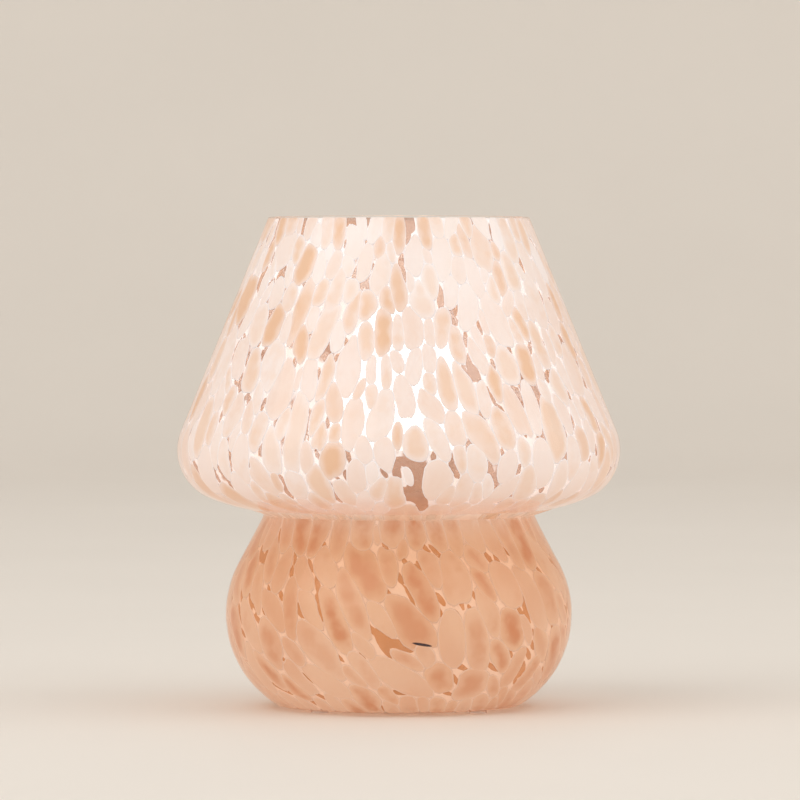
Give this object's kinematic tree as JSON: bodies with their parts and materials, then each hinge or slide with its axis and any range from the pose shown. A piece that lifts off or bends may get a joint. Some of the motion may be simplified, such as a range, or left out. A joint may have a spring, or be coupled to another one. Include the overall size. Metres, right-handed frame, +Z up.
{
  "type": "mushroom table lamp",
  "caption": "Table lamp blown as one speckled glass mushroom, open at the top, with a screw-in LED bulb on a short stem inside.",
  "frame": {"origin": "on the table, under the lamp's axis, at the underside of the foot pads", "axes": "+Z up along the lamp's axis of revolution, the cord outlet at the back (+Y)"},
  "size_m": [0.22, 0.22, 0.243],
  "materials": {
    "speckled_glass": "clear blown glass with fused milky spots, glossy",
    "clear_silicone": "clear soft silicone",
    "grommet_rubber": "pale satin rubber",
    "gasket_rubber": "matt black rubber",
    "zinc_steel": "zinc-plated steel",
    "white_enamel": "white enamelled steel",
    "brass": "bare brass",
    "holder_plastic": "white heat-resistant plastic",
    "core_ceramic": "white glazed ceramic",
    "spring_steel": "bright spring steel",
    "nickel_cap": "nickel-plated sheet",
    "black_glass": "black insulating glass",
    "bulb_plastic": "white moulded plastic",
    "sink_aluminium": "spun aluminium",
    "board_white": "white solder mask on aluminium",
    "led_phosphor": "yellow phosphor",
    "driver_green": "green circuit board",
    "driver_dark": "dark component cases",
    "dome_diffuser": "opal diffuser, lit"
  },
  "bodies": {
    "lamp": {"glass_body": "speckled_glass", "foot_pads": "clear_silicone", "cord_grommet": "grommet_rubber", "base_nut": "zinc_steel", "base_washer": "zinc_steel", "lower_gasket": "gasket_rubber", "upper_gasket": "gasket_rubber", "spreader_plate": "white_enamel", "threaded_tube": "zinc_steel", "stem_sleeve": "white_enamel", "holder_cup": "holder_plastic", "holder_grub_screw": "zinc_steel", "holder_core": "core_ceramic", "holder_terminals": "brass", "terminal_screws": "zinc_steel", "side_contact": "brass", "plunger_spring": "spring_steel", "screw_shell": "brass", "holder_skirt": "holder_plastic"},
    "plunger": {"contact_plunger": "brass"},
    "bulb_centre": {"bulb_tip": "brass"},
    "bulb": {"bulb_insulator": "black_glass", "bulb_cap": "nickel_cap", "bulb_housing": "bulb_plastic", "bulb_heat_sink": "sink_aluminium", "led_board": "board_white", "led_chips": "led_phosphor", "driver_board": "driver_green", "driver_parts": "driver_dark", "bulb_dome": "dome_diffuser"}
  },
  "joints": [
    {"name": "bulb_travel", "type": "slide", "parent": "lamp", "child": "bulb_centre", "axis": [0, 0, 1], "range_m": [0, 0.01272]},
    {"name": "bulb_spin", "type": "hinge", "parent": "bulb_centre", "child": "bulb", "pos_m": [0, 0, 0.1], "axis": [0, 0, 1], "range_deg": [0, 1260]},
    {"name": "contact_press", "type": "slide", "parent": "lamp", "child": "plunger", "axis": [0, 0, 1], "range_m": [-0.001, 0], "stiffness_N_per_m": 1200, "deforming": ["plunger_spring"]}
  ],
  "couplings": [
    {"joint": "bulb_travel", "follows": "bulb_spin", "m_per_rad": 0.00057757}
  ]
}
